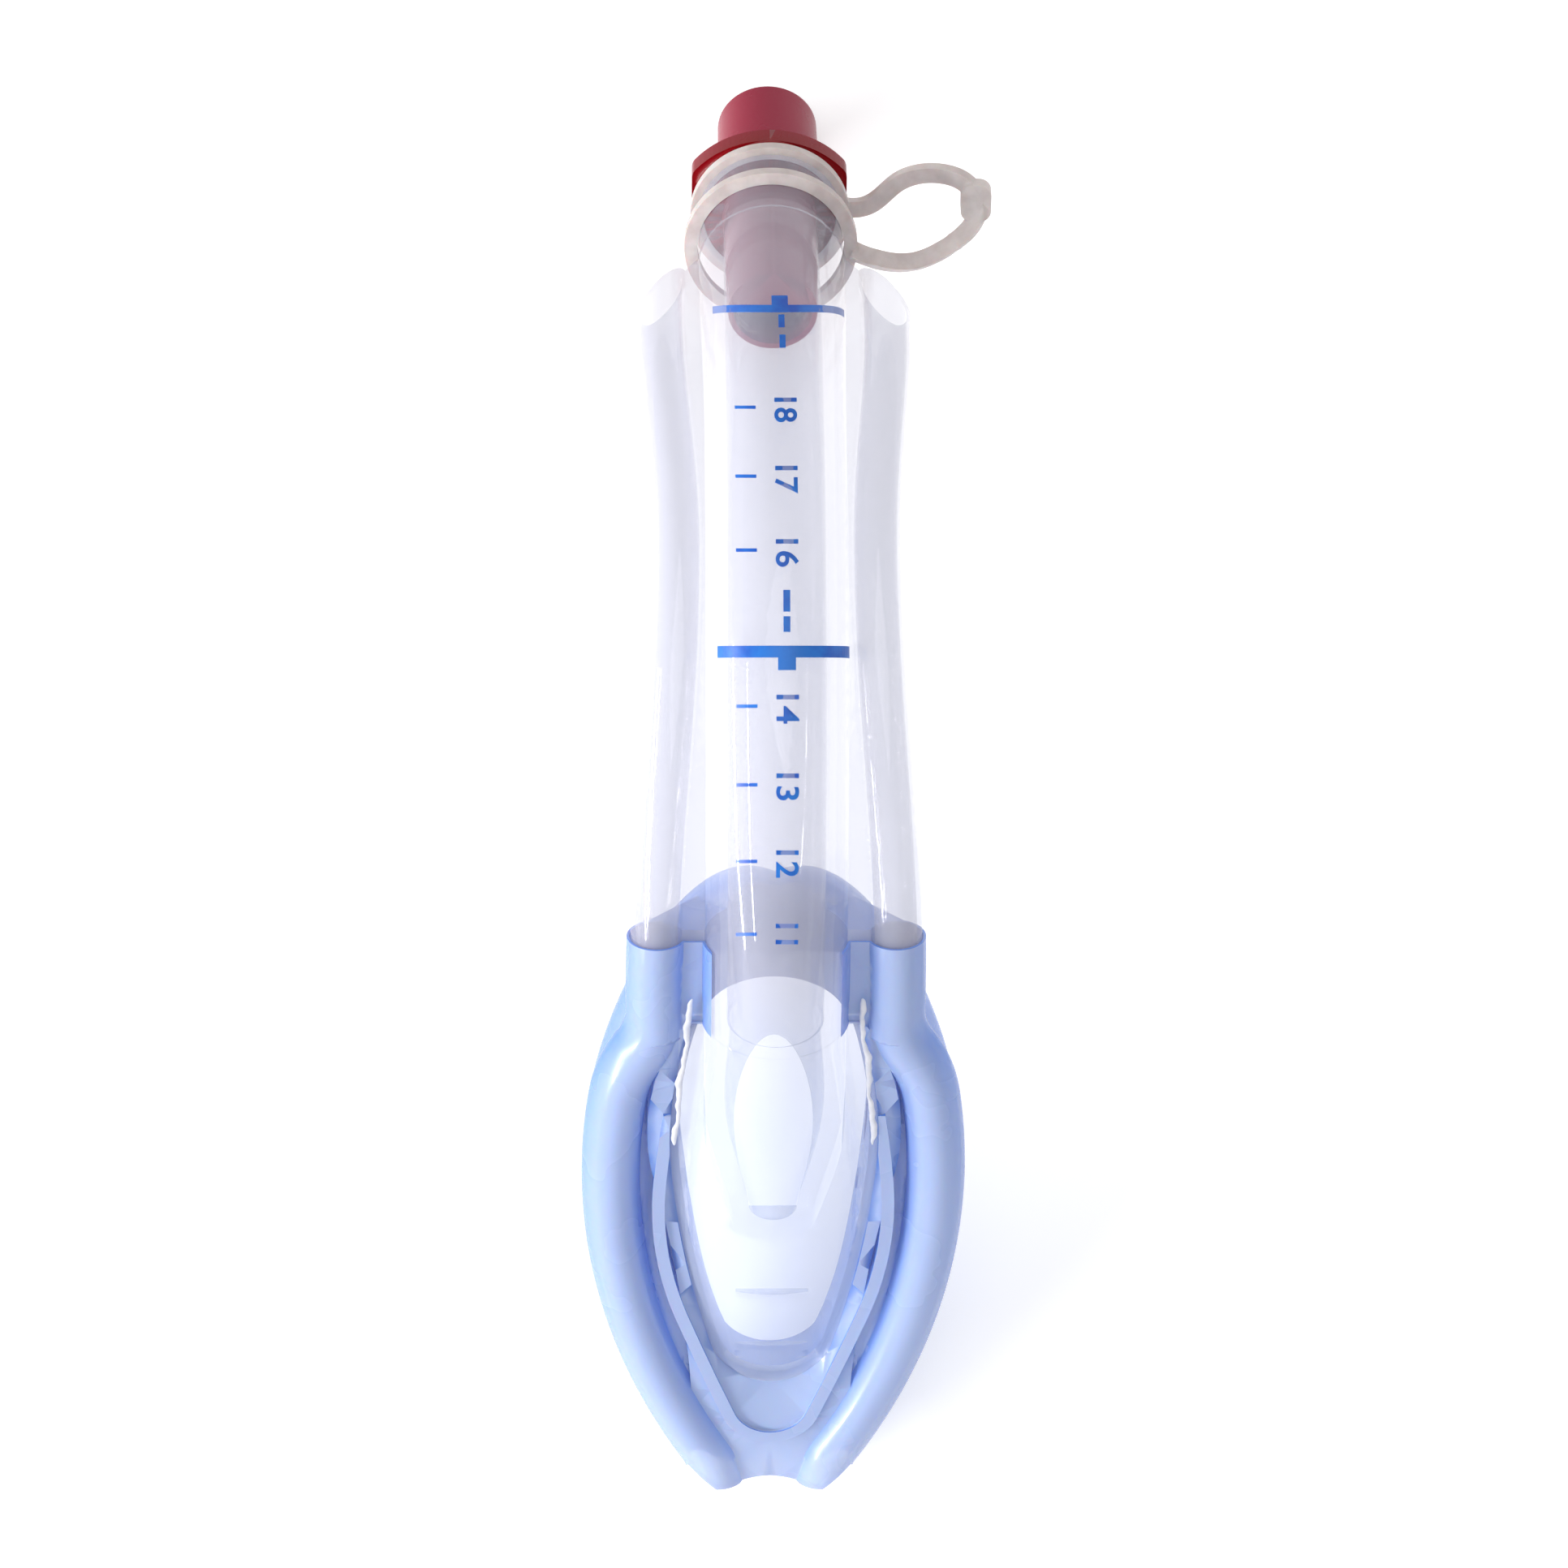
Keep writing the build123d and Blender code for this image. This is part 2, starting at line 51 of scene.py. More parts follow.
class Gloss(Enum):
    """How the mould left a surface: its roughness, and the depth of its texture in millimetres."""

    POLISHED = (0.06, 0.003)
    SATIN = (0.26, 0.010)
    FROSTED = (0.46, 0.022)
    PRINTED = (0.38, 0.003)


def linear(code: str) -> tuple[float, float, float, float]:
    """Turns an sRGB hex colour to linear.

    Args:
        code: Six hex digits after a hash sign.

    Returns:
        Red, green, blue and an alpha of one.
    """
    parts = np.array([int(code[i : i + 2], 16) for i in (1, 3, 5)]) / 255.0
    low, high = parts / 12.92, ((parts + 0.055) / 1.055) ** 2.4
    return (*(float(v) for v in np.where(parts <= 0.04045, low, high)), 1.0)


def add_node(
    tree: bpy.types.NodeTree, kind: str, sockets: dict | None = None, **settings: object
) -> bpy.types.Node:
    """Adds one node with its settings, values and links.

    Args:
        tree: Node tree that takes it.
        kind: Blender's name of the node type.
        sockets: Value or output socket for each named or numbered input.
        **settings: Properties of the node itself.

    Returns:
        The new node.
    """
    node = tree.nodes.new(kind)
    for name, value in settings.items():
        setattr(node, name, value)
    for name, value in (sockets or {}).items():
        if isinstance(value, bpy.types.NodeSocket):
            tree.links.new(value, node.inputs[name])
        else:
            node.inputs[name].default_value = value
    return node


@dataclass(frozen=True)
class Finish:
    """A moulded plastic: two tones, a fine mould texture and the gloss that the tool gave it.

    The share of the deeper tone comes from an attribute, from painted shade that grows as the surface turns
    away from one direction, or else from cloudiness alone.
    """

    name: str
    tone: str
    deep_tone: str
    gloss: Gloss
    ior: float
    blend_by: str = ""
    # Direction the surface is palest facing: painted shade deepens as the surface turns away from it
    face_on: tuple[float, float, float] | None = None
    alpha: float = 1.0
    subsurface: float = 0.0
    scatter_mm: float = 1.0
    coat: float = 0.0
    cloud_mm: float = 9.0
    grain_mm: float = 0.6
    unevenness: float = 0.12
    specular: float = 0.5
    coat_roughness: float = 0.06
    bump_strength: float = 0.5

    def deep_share(self, tree: bpy.types.NodeTree, cloud: bpy.types.NodeSocket) -> bpy.types.NodeSocket:
        """Adds the nodes that give the share of the deeper tone; given a direction, this share is painted
        shade.

        Args:
            tree: The material's node tree.
            cloud: Cloudiness from 0 to 1.

        Returns:
            The socket with the share.
        """
        if not (self.blend_by or self.face_on):
            spread = {"Value": cloud, "From Min": 0.35, "From Max": 0.65}
            return add_node(tree, "ShaderNodeMapRange", spread).outputs["Result"]
        if self.face_on:
            # Painted shade: the deeper tone grows as the surface normal turns away from the given direction
            normal = add_node(tree, "ShaderNodeNewGeometry").outputs["Normal"]
            both = {0: normal, 1: self.face_on}
            lean = add_node(tree, "ShaderNodeVectorMath", both, operation="DOT_PRODUCT")
            turned = {"Value": lean.outputs["Value"], "From Min": 0.98, "From Max": 0.1}
            share = add_node(tree, "ShaderNodeMapRange", turned).outputs["Result"]
        else:
            share = add_node(tree, "ShaderNodeAttribute", attribute_name=self.blend_by).outputs["Fac"]
        stir = {"Value": cloud, "To Min": -self.unevenness, "To Max": self.unevenness}
        uneven = add_node(tree, "ShaderNodeMapRange", stir).outputs["Result"]
        total = add_node(tree, "ShaderNodeMath", {0: share, 1: uneven}, operation="ADD", use_clamp=True)
        return total.outputs[0]

    def noise(
        self, tree: bpy.types.NodeTree, size_mm: float, detail: float, rough: float
    ) -> bpy.types.NodeSocket:
        """Adds noise of one real size in object space.

        Args:
            tree: The material's node tree.
            size_mm: Size of its features in millimetres.
            detail: Number of finer layers.
            rough: Share of the finer layers.

        Returns:
            The socket with the noise.
        """
        place = add_node(tree, "ShaderNodeTexCoord").outputs["Object"]
        sockets = {"Vector": place, "Scale": 1.0 / (size_mm * MM), "Detail": detail, "Roughness": rough}
        return add_node(tree, "ShaderNodeTexNoise", sockets).outputs["Fac"]

    def make(self) -> bpy.types.Material:
        """Builds the material's nodes.

        Returns:
            The material.
        """
        material = bpy.data.materials.new(self.name)
        material.use_nodes = True
        tree = material.node_tree
        tree.nodes.clear()
        cloud = self.noise(tree, self.cloud_mm, 3.0, 0.55)
        grain = self.noise(tree, self.grain_mm, 2.0, 0.5)
        # A colour mix takes its two colours at inputs 6 and 7
        colour = add_node(
            tree,
            "ShaderNodeMix",
            {0: self.deep_share(tree, cloud), 6: linear(self.tone), 7: linear(self.deep_tone)},
            data_type="RGBA",
        )
        base, depth = self.gloss.value
        rough = add_node(
            tree,
            "ShaderNodeMapRange",
            {"Value": cloud, "To Min": base * 0.75, "To Max": base * 1.3},
        )
        bump = add_node(
            tree,
            "ShaderNodeBump",
            {"Height": grain, "Strength": self.bump_strength, "Distance": depth * MM},
        )
        shader = add_node(
            tree,
            "ShaderNodeBsdfPrincipled",
            {
                "Base Color": colour.outputs[2],
                "Roughness": rough.outputs["Result"],
                "Normal": bump.outputs["Normal"],
                "IOR": self.ior,
                "Specular IOR Level": self.specular,
                "Alpha": self.alpha,
                "Subsurface Weight": self.subsurface,
                "Subsurface Scale": self.scatter_mm * MM,
                "Coat Weight": self.coat,
                "Coat Roughness": self.coat_roughness,
            },
        )
        add_node(tree, "ShaderNodeOutputMaterial", {"Surface": shader.outputs["BSDF"]})
        return material


@dataclass(frozen=True)
class Spine:
    """The airway's centre line: a straight breathing end, one bend and the straight mask, in metres."""

    breathing_slope: float = math.radians(55.0)
    mask_slope: float = math.radians(37.0)
    bend_radius: float = 72.0 * MM
    breathing_run: float = 50.0 * MM
    mask_length: float = 95.4 * MM
    tip_setback: float = 92.4 * MM
    tip_depth: float = 6.2 * MM
    cone_end_radius: float = 7.6 * MM

    @property
    def bend_length(self) -> float:
        """Length of the bend along the centre line."""
        return (self.breathing_slope + self.mask_slope) * self.bend_radius

    @property
    def mask_start(self) -> float:
        """Place on the centre line where the bend ends."""
        return self.breathing_run + self.bend_length

    @property
    def bend_centre(self) -> np.ndarray:
        """Centre of the bend, found from the cone's rim and the tip, which both touch the table."""
        up, level = math.sin(self.breathing_slope), math.cos(self.breathing_slope)
        z = self.cone_end_radius * level + self.breathing_run * up - self.bend_radius * level
        y = self.bend_radius * math.sin(self.mask_slope) + self.tip_setback * math.cos(self.mask_slope)
        y -= self.tip_depth * math.sin(self.mask_slope)
        return np.array([0.0, y, z])

    def axes(self, along: np.ndarray) -> tuple[np.ndarray, np.ndarray, np.ndarray]:
        """Centre point, dorsal direction and direction towards the tip.

        The slope falls evenly with the length inside the bend, and outside it the line runs straight on.

        Args:
            along: Places on the centre line.

        Returns:
            Three arrays whose last axis is x, y and z.
        """
        bent = np.clip(along - self.breathing_run, 0.0, self.bend_length)
        slope = self.breathing_slope - bent / self.bend_radius
        dorsal = np.stack([np.zeros_like(slope), np.sin(slope), np.cos(slope)], axis=-1)
        ahead = np.stack([np.zeros_like(slope), -np.cos(slope), np.sin(slope)], axis=-1)
        over = (along - self.breathing_run - bent)[..., None]
        return self.bend_centre + dorsal * self.bend_radius + ahead * over, dorsal, ahead

    def on_tube(self, angle: np.ndarray, along: np.ndarray, radius: np.ndarray) -> np.ndarray:
        """Points round the centre line, by the angle from the dorsal line and the place along it.

        Args:
            angle: Angle from the dorsal line, positive to +X.
            along: Places on the centre line.
            radius: Distances from the centre line.

        Returns:
            Points, with x, y and z on the last axis.
        """
        centre, dorsal, _ = self.axes(along)
        across = np.array([1.0, 0.0, 0.0])
        outwards = np.sin(angle)[..., None] * across + np.cos(angle)[..., None] * dorsal
        return centre + radius[..., None] * outwards

    def on_mask(self, across: np.ndarray, along: np.ndarray, height: np.ndarray) -> np.ndarray:
        """Points of the mask, from across, along its axis and above its mid-plane.

        Args:
            across: Distances to +X.
            along: Distances from the end of the bend towards the tip.
            height: Distances to the dorsal side.

        Returns:
            Points, with x, y and z on the last axis.
        """
        centre, dorsal, _ = self.axes(self.mask_start + along)
        points = centre + height[..., None] * dorsal
        points[..., 0] += across
        return points


# Direction that the mask's dorsal side faces; the cuff's painted shade deepens as its surface turns away
# from it
MASK_DORSAL = (0.0, -math.sin(Spine.mask_slope), math.cos(Spine.mask_slope))

# Plasticised PVC, moulded against a polished tool: water-clear in itself, milky by its thick walls
CLEAR_VINYL = Finish(
    "clear_vinyl_body",
    "#D2D3E4",
    "#C3CFEC",
    Gloss.POLISHED,
    1.53,
    "bowl_share",
    alpha=0.28,
    coat=1.0,
)
# Very soft thermoplastic elastomer, tinted blue; painted shade makes it deeper blue in valleys and on sides
# turned from the dorsal side
BLUE_ELASTOMER = Finish(
    "blue_elastomer_cuff",
    "#B9CBF2",
    "#5C93EE",
    Gloss.SATIN,
    1.49,
    face_on=MASK_DORSAL,
    alpha=0.66,
    subsurface=0.2,
    scatter_mm=2.5,
    coat=0.3,
    cloud_mm=22.0,
    unevenness=0.05,
)
# Rigid tinted polypropylene, satin from the tool: crimson where thick, more purple on the thin cone
RED_POLYPROPYLENE = Finish(
    "red_polypropylene_connector",
    "#92002F",
    "#7E0009",
    Gloss.SATIN,
    1.49,
    "thickness",
    specular=0.12,
)
# Natural soft polyethylene with a fine eroded mould texture: frosted and a little see-through
NATURAL_POLYETHYLENE = Finish(
    "natural_polyethylene_tether",
    "#D9D1CE",
    "#C9BFBC",
    Gloss.FROSTED,
    1.50,
    alpha=0.86,
    subsurface=0.3,
    scatter_mm=2.0,
    cloud_mm=3.0,
    grain_mm=0.35,
)
# Solvent ink, pad printed in one pass: thin, even and slightly less glossy than the tube
BLUE_INK = Finish("blue_pad_printed_ink", "#0C4DB4", "#1670CC", Gloss.PRINTED, 1.50, cloud_mm=4.0)
# Cured medical adhesive: a cloudy, uneven bead
CURED_ADHESIVE = Finish(
    "cured_adhesive_bead", "#F4F4F8", "#E2E4EE", Gloss.SATIN, 1.50, alpha=0.75, cloud_mm=1.5, grain_mm=0.3
)


def mesh_object(name: str, points: np.ndarray, faces: np.ndarray) -> bpy.types.Object:
    """Makes an object at the origin from points and quads.

    Args:
        name: Name of the object.
        points: N rows of x, y and z in metres.
        faces: M rows of four point numbers.

    Returns:
        The linked object, shaded smooth.
    """
    mesh = bpy.data.meshes.new(name)
    mesh.from_pydata(points.reshape(-1, 3).tolist(), [], faces.reshape(-1, faces.shape[-1]).tolist())
    mesh.validate()
    mesh.shade_smooth()
    piece = bpy.data.objects.new(name, mesh)
    bpy.context.scene.collection.objects.link(piece)
    return piece


def grid_faces(rows: int, columns: int, closed: bool) -> np.ndarray:
    """Quads of a grid of rows by columns, joined across its last column where it is closed.

    Args:
        rows: Number of rows of points.
        columns: Number of columns of points.
        closed: Whether the last column joins the first.

    Returns:
        Rows of four point numbers.
    """
    strips = columns if closed else columns - 1
    row, column = np.meshgrid(np.arange(rows - 1), np.arange(strips), indexing="ij")
    beside = (column + 1) % columns
    here, below = row * columns, (row + 1) * columns
    quads = [here + column, here + beside, below + beside, below + column]
    return np.stack(quads, axis=-1).reshape(-1, 4)


def outward(piece: bpy.types.Object) -> None:
    """Merges doubles and turns the faces of a closed piece outwards."""
    work = bmesh.new()
    work.from_mesh(piece.data)
    bmesh.ops.remove_doubles(work, verts=work.verts, dist=MERGE_DISTANCE)
    bmesh.ops.recalc_face_normals(work, faces=work.faces)
    work.to_mesh(piece.data)
    work.free()


def close_ends(piece: bpy.types.Object) -> None:
    """Closes the open ends of a swept piece with one face each."""
    work = bmesh.new()
    work.from_mesh(piece.data)
    bmesh.ops.holes_fill(work, edges=work.edges, sides=0)
    work.to_mesh(piece.data)
    work.free()


def add_share(piece: bpy.types.Object, name: str, share: np.ndarray) -> None:
    """Stores one value from 0 to 1 at each vertex of a piece."""
    layer = piece.data.attributes.new(name, "FLOAT", "POINT")
    layer.data.foreach_set("value", np.clip(share, 0.0, 1.0).astype(np.float32))


def vertex_places(mesh: bpy.types.Mesh) -> np.ndarray:
    """Places of a mesh's vertices, in rows of x, y and z."""
    places = np.zeros(len(mesh.vertices) * 3)
    mesh.vertices.foreach_get("co", places)
    return places.reshape(-1, 3)


@dataclass
class Moulding:
    """One moulding of the frame, shown as a smooth merged copy of its node."""

    node: str
    piece_name: str
    slot: str
    finish: Finish
    share_of: Callable[[np.ndarray], np.ndarray] | None = None
    crease: float = math.radians(24.0)
    even_weight: int = 80

    def build(self) -> bpy.types.Object:
        """Copies the node, merges its loose triangles, smooths it up to the crease angle and dresses it.

        Returns:
            The piece, which stands for the node.
        """
        piece = bpy.data.objects.new(self.piece_name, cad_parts[self.node].data.copy())
        bpy.context.scene.collection.objects.link(piece)
        outward(piece)
        piece.data.shade_smooth()
        piece.data.set_sharp_from_angle(angle=self.crease)
        if self.share_of is not None:
            add_share(piece, self.finish.blend_by, self.share_of(vertex_places(piece.data)))
        piece.data.materials.clear()
        piece.data.materials.append(self.finish.make())
        even = piece.modifiers.new("even_shading", "WEIGHTED_NORMAL")
        even.keep_sharp, even.weight, even.mode = True, self.even_weight, "FACE_AREA_WITH_ANGLE"
        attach(piece, "root")
        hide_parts(self.node)
        log.info("%s: %d vertices for node %s", self.piece_name, len(piece.data.vertices), self.node)
        return piece


@dataclass
class DepthPrint:
    """The blue print on the tube's crown: two bars with tabs and dashes, and a plain depth scale."""

    spine: Spine
    rim_radius: float = 11.3 * MM
    tube_radius: float = 10.6 * MM
    body_start: float = 41.0 * MM
    ease_length: float = 30.0 * MM
    thickness: float = 0.05 * MM
    # Middle across, middle along, full width and full length of each patch, in millimetres
    upper_bar: tuple[float, float, float, float] = (0.7, 64.7, 19.6, 1.3)
    lower_bar: tuple[float, float, float, float] = (1.1, 114.1, 19.8, 1.5)
    upper_tab: tuple[float, float, float, float] = (0.7, 63.2, 2.4, 1.8)
    lower_tab: tuple[float, float, float, float] = (1.2, 115.6, 2.6, 1.7)
    dashes: tuple[tuple[float, float, float, float], ...] = (
        (0.9, 66.9, 0.9, 2.2),
        (1.0, 70.4, 0.9, 2.2),
        (1.2, 107.6, 1.0, 2.8),
        (1.2, 110.6, 1.0, 2.0),
    )
    scale_from_tip: tuple[int, ...] = (11, 12, 13, 14, 16, 17, 18)
    digit_height: float = 3.4
    digit_size_to_height: float = 1.35
    digit_half_depth: float = 0.04
    digit_weight: float = 0.07
    digit_across: float = 1.1
    tick_across: float = -4.6
    tick_width: float = 3.0
    tick_length: float = 0.45
    patch_columns: int = 49

    def crown_radius(self, along: np.ndarray) -> np.ndarray:
        """Outside radius of the middle tube, which eases from its rim to its full length."""
        share = np.clip((along - self.body_start) / self.ease_length, 0.0, 1.0)
        return self.rim_radius + (self.tube_radius - self.rim_radius) * share

    def wrap(self, across: np.ndarray, along: np.ndarray, lift: np.ndarray) -> np.ndarray:
        """Presses flat places straight down on to the crown, as the printing pad does.

        The angle is the arc sine of across over the radius, and the place along slides back by the drop of
        the crown times the tangent of the local slope, so that a straight bar stays straight from above.

        Args:
            across: Distances to +X.
            along: Places on the centre line at the crown.
            lift: Distances above the tube's surface.

        Returns:
            Points, with x, y and z on the last axis.
        """
        radius = self.crown_radius(along)
        angle = np.arcsin(np.clip(across / radius, -0.99, 0.99))
        bent = np.clip(along - self.spine.breathing_run, 0.0, None)
        slope = self.spine.breathing_slope - bent / self.spine.bend_radius
        slide = radius * (1.0 - np.cos(angle)) * np.tan(np.clip(slope, -0.7, 0.9))
        return self.spine.on_tube(angle, along - slide, radius + lift)

    def patch(self, name: str, place: tuple[float, float, float, float]) -> bpy.types.Object:
        """A thin rectangular layer of ink: a grid over the arc and the length, closed by an inner grid.

        Args:
            name: Name of the piece.
            place: Middle across and along, then the full width and length, in millimetres.

        Returns:
            The closed layer.
        """
        middle, along, width, length = (v * MM for v in place)
        turn = np.linspace(0.0, 2.0 * np.pi, 4, endpoint=False)
        across = np.linspace(middle - width / 2, middle + width / 2, self.patch_columns)
        lift = np.where(np.cos(turn + np.pi / 4) > 0, self.thickness, -self.thickness / 2)
        offset = np.where(np.sin(turn + np.pi / 4) > 0, length / 2, -length / 2)
        u, v = np.meshgrid(across, along + offset, indexing="ij")
        points = self.wrap(u, v, np.broadcast_to(lift, u.shape))
        faces = grid_faces(len(across), 4, True)
        last = (len(across) - 1) * 4
        caps = np.array([[3, 2, 1, 0], [last, last + 1, last + 2, last + 3]])
        return mesh_object(name, points, np.vstack([faces, caps]))

    def digits(self, name: str, text: str, middle: float, along: float) -> bpy.types.Object:
        """Plain numbers that read along the tube: each outline point goes where its flat place is pressed.

        Args:
            name: Name of the piece.
            text: The number.
            middle: Place across of its middle, in millimetres.
            along: Place on the centre line of its middle, in millimetres.

        Returns:
            The closed layer of ink.
        """
        curve = bpy.data.curves.new(name, "FONT")
        curve.body, curve.align_x, curve.align_y = text, "CENTER", "CENTER"
        curve.size = self.digit_height * self.digit_size_to_height
        curve.extrude, curve.offset, curve.resolution_u = self.digit_half_depth, self.digit_weight, 4
        source = bpy.data.objects.new(name + "_flat", curve)
        mesh = bpy.data.meshes.new_from_object(source)
        bpy.data.objects.remove(source)
        mesh.name = name
        flat = vertex_places(mesh)
        lift = np.where(flat[:, 2] > 0, self.thickness * 1.4, -self.thickness)
        points = self.wrap((middle + flat[:, 1]) * MM, (along + flat[:, 0]) * MM, lift)
        mesh.vertices.foreach_set("co", points.ravel())
        mesh.update()
        piece = bpy.data.objects.new(name, mesh)
        bpy.context.scene.collection.objects.link(piece)
        return piece

    def build(self) -> list[bpy.types.Object]:
        """Lays every patch and number and dresses them in the ink.

        Returns:
            The pieces of print.
        """
        ink = BLUE_INK.make()
        pieces = [
            self.patch("print_upper_bar", self.upper_bar),
            self.patch("print_lower_bar", self.lower_bar),
            self.patch("print_upper_tab", self.upper_tab),
            self.patch("print_lower_tab", self.lower_tab),
        ]
        pieces += [self.patch(f"print_dash_{i}", dash) for i, dash in enumerate(self.dashes)]
        total = (self.spine.mask_start + self.spine.mask_length) / MM
        for number in self.scale_from_tip:
            along = total - 10.0 * number
            tick = (self.tick_across, along, self.tick_width, self.tick_length)
            pieces.append(self.patch(f"print_tick_{number}", tick))
            pieces.append(self.digits(f"print_number_{number}", str(number), self.digit_across, along))
        for piece in pieces:
            outward(piece)
            piece.data.shade_flat()
            piece.data.materials.clear()
            piece.data.materials.append(ink)
            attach(piece, "root")
        log.info("depth print: %d pieces", len(pieces))
        return pieces


@dataclass
class GlueBead:
    """A cured bead of adhesive along one side of the roof, of uneven width."""

    spine: Spine
    side: int
    across: tuple[float, ...] = (12.6, 13.0, 13.7, 14.4, 14.9)
    along: tuple[float, ...] = (0.0, 6.0, 12.0, 20.0, 28.0)
    height: float = 3.1
    radius: float = 0.42
    waver: float = 0.175
    swell: float = 0.22
    flatness: float = 0.7
    tip_radius: float = 0.01
    steps: int = 160
    round_points: int = 12

    def build(self) -> bpy.types.Object:
        """Sweeps a circle along the seam; its radius and side place waver with three sines of the length.

        Returns:
            The dressed bead.
        """
        share = np.linspace(0.0, 1.0, self.steps)
        knots = np.linspace(0.0, 1.0, len(self.across))
        along = np.interp(share, knots, self.along)
        wave = np.sin(along * 0.55 + self.side) + 0.5 * np.sin(along * 1.3)
        wave += 0.25 * np.sin(along * 2.9 + self.side)
        across = np.interp(share, knots, self.across) + self.waver * wave
        ends = np.sqrt(np.clip(1.0 - (2.0 * share - 1.0) ** 12, 0.0, 1.0))
        radius = self.radius * (1.0 + self.swell * wave) * ends + self.tip_radius
        turn = np.linspace(0.0, 2.0 * np.pi, self.round_points, endpoint=False)
        x = self.side * (across[:, None] + radius[:, None] * np.cos(turn))
        h = self.height + radius[:, None] * np.sin(turn) * self.flatness
        a = np.broadcast_to(along[:, None], x.shape)
        points = self.spine.on_mask(x * MM, a * MM, h * MM)
        name = "glue_bead_right" if self.side > 0 else "glue_bead_left"
        piece = mesh_object(name, points, grid_faces(self.steps, self.round_points, True))
        close_ends(piece)
        outward(piece)
        piece.data.materials.append(CURED_ADHESIVE.make())
        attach(piece, "root")
        log.info("%s laid", piece.name)
        return piece


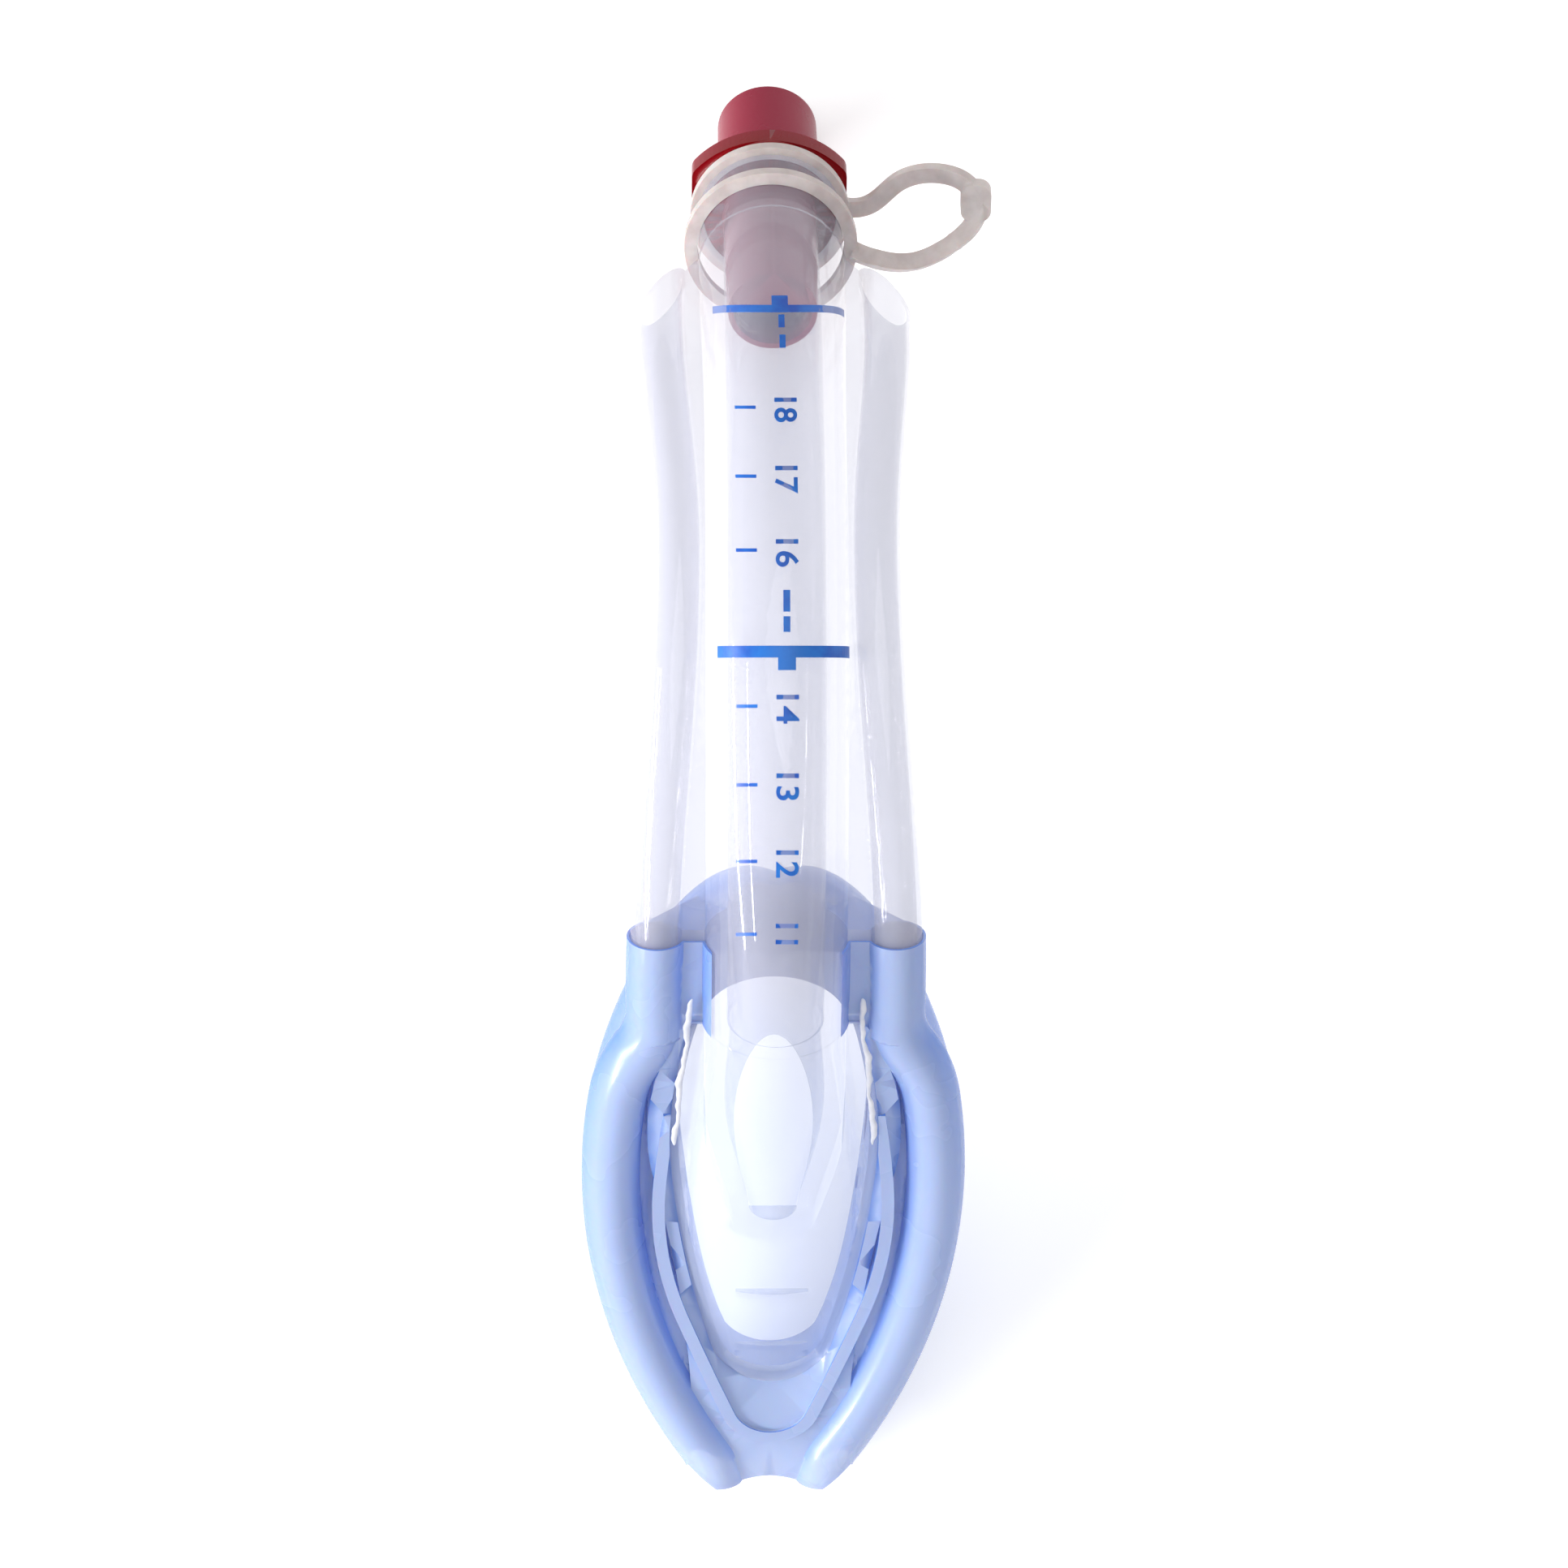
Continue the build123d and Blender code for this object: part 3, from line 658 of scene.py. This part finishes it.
@dataclass
class Studio:
    """White table, soft light and the camera straight above."""

    eye: tuple[float, float, float] = (-0.027, 0.0999, 1.4)
    aim: tuple[float, float, float] = (0.00083, 0.0999, 0.082)
    roll: float = 0.0015
    lens: float = 207.6
    lit_point: tuple[float, float, float] = (0.0, 0.1, 0.05)
    table_size: float = 3.0
    dome_strength: float = 0.60
    table_lift: float = 0.32
    table_drop: float = 0.2 * MM

    def table(self) -> None:
        """Lays a white table whose colour is lifted to white for the camera and reflections only."""
        half = self.table_size / 2
        corners = np.array([[-half, -half, 0.0], [half, -half, 0.0], [half, half, 0.0], [-half, half, 0.0]])
        corners[:, 2] = -self.table_drop
        table = mesh_object("white_table", corners, np.array([[0, 1, 2, 3]]))
        material = bpy.data.materials.new("white_laminate_table")
        material.use_nodes = True
        tree = material.node_tree
        tree.nodes.clear()
        ray = add_node(tree, "ShaderNodeLightPath")
        direct = {0: ray.outputs["Is Camera Ray"], 1: ray.outputs["Is Glossy Ray"]}
        seen = add_node(tree, "ShaderNodeMath", direct, operation="MAXIMUM")
        through = {0: seen.outputs[0], 1: ray.outputs["Is Transmission Ray"]}
        seen = add_node(tree, "ShaderNodeMath", through, operation="MAXIMUM")
        paint = add_node(tree, "ShaderNodeBsdfDiffuse", {"Color": linear("#F4F4F5")})
        raised = {0: seen.outputs[0], 1: self.table_lift}
        lift = add_node(tree, "ShaderNodeMath", raised, operation="MULTIPLY")
        glow = add_node(tree, "ShaderNodeEmission", {"Strength": lift.outputs[0]})
        both = add_node(tree, "ShaderNodeAddShader", {0: paint.outputs[0], 1: glow.outputs[0]})
        add_node(tree, "ShaderNodeOutputMaterial", {"Surface": both.outputs[0]})
        table.data.materials.append(material)

    def dome(self) -> None:
        """A white room: soft light on the object, and plain white behind it for the camera."""
        world = bpy.data.worlds.new("white_room")
        bpy.context.scene.world = world
        world.use_nodes = True
        tree = world.node_tree
        tree.nodes.clear()
        ray = add_node(tree, "ShaderNodeLightPath")
        strength = add_node(
            tree,
            "ShaderNodeMapRange",
            {"Value": ray.outputs["Is Camera Ray"], "To Min": self.dome_strength, "To Max": 1.0},
        )
        sky = add_node(tree, "ShaderNodeBackground", {"Strength": strength.outputs["Result"]})
        sky.inputs["Color"].default_value = linear("#FFFFFF")
        add_node(tree, "ShaderNodeOutputWorld", {"Surface": sky.outputs[0]})

    def lamp(
        self, name: str, place: tuple[float, float, float], size: tuple[float, float], power: float
    ) -> None:
        """One soft rectangular lamp that faces the middle of the object.

        Args:
            name: Name of the lamp.
            place: Where it hangs, in metres.
            size: Its width and height, in metres.
            power: Its power in watts.
        """
        data = bpy.data.lights.new(name, "AREA")
        data.shape, data.size, data.size_y, data.energy = "RECTANGLE", size[0], size[1], power
        lamp = bpy.data.objects.new(name, data)
        bpy.context.scene.collection.objects.link(lamp)
        lamp.location = place
        lamp.rotation_mode = "QUATERNION"
        lamp.rotation_quaternion = (Vector(self.lit_point) - Vector(place)).to_track_quat("-Z", "Y")

    def camera(self) -> None:
        """Sets the camera above the object with the photograph's direction, distance and roll."""
        data = bpy.data.cameras.new("camera")
        data.lens, data.sensor_width = self.lens, 36.0
        data.clip_start, data.clip_end = 0.05, 20.0
        camera = bpy.data.objects.new("camera", data)
        bpy.context.scene.collection.objects.link(camera)
        eye = Vector(self.eye)
        back = (eye - Vector(self.aim)).normalized()
        up = Vector((self.roll, 1.0, 0.0))
        right = up.cross(back).normalized()
        up = back.cross(right)
        turn = Matrix((right, up, back)).transposed()
        camera.matrix_world = Matrix.Translation(eye) @ turn.to_4x4()
        bpy.context.scene.camera = camera

    def build(self) -> None:
        """Sets the table, room, lamps, camera and view settings."""
        self.table()
        self.dome()
        self.lamp("soft_box_over_the_table", (0.25, 0.35, 1.7), (1.2, 1.2), 6.0)
        self.lamp("strip_light_at_the_left", (-0.95, -0.22, 0.36), (1.0, 0.03), 15.0)
        self.camera()
        bpy.context.scene.view_settings.view_transform = "Standard"
        log.info("studio ready")


def bowl_share(places: np.ndarray) -> np.ndarray:
    """Share of the bowl's bluer tone: none on the tube, all on the roof, eased along the y axis."""
    ease = np.clip((0.075 - places[:, 1]) / 0.03, 0.0, 1.0)
    return ease * ease * (3.0 - 2.0 * ease)


def connector_thickness(places: np.ndarray) -> np.ndarray:
    """Share of the crimson tone: all on the thick flange and waist, none on the thin cone and spigot."""
    spine = Spine()
    start, _, ahead = spine.axes(np.array(0.0))
    along = (places - start) @ ahead
    flange = np.clip((along - 0.015) / 0.003, 0.0, 1.0)
    return flange * np.clip((0.030 - along) / 0.006, 0.0, 1.0)


@dataclass
class Airway:
    """The whole airway: its four mouldings, the print on the tube and the adhesive at the roof."""

    spine: Spine = field(default_factory=Spine)

    def mouldings(self) -> list[Moulding]:
        """The four mouldings with their finishes."""
        tube = Moulding("airway_tube", "clear_tube_body", "clear_body", CLEAR_VINYL, bowl_share)
        cuff = Moulding("mask_cuff", "blue_mask_cuff", "blue_cuff", BLUE_ELASTOMER)
        connector = Moulding("connector", "red_tube_connector", "red_connector", RED_POLYPROPYLENE)
        connector.share_of = connector_thickness
        tether = Moulding("tether", "natural_cap_tether", "frosted_tether", NATURAL_POLYETHYLENE)
        return [tube, cuff, connector, tether]

    def build(self) -> None:
        """Builds each part in the order of assembly."""
        for moulding in self.mouldings():
            moulding.build()
        DepthPrint(self.spine).build()
        for side in (-1, 1):
            GlueBead(self.spine, side).build()


def main() -> None:
    """Builds the airway and its studio."""
    logging.basicConfig(level=logging.INFO, format="%(name)s: %(message)s")
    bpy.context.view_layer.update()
    Airway().build()
    Studio().build()
    bpy.context.view_layer.update()


if __name__ == "__main__":
    main()
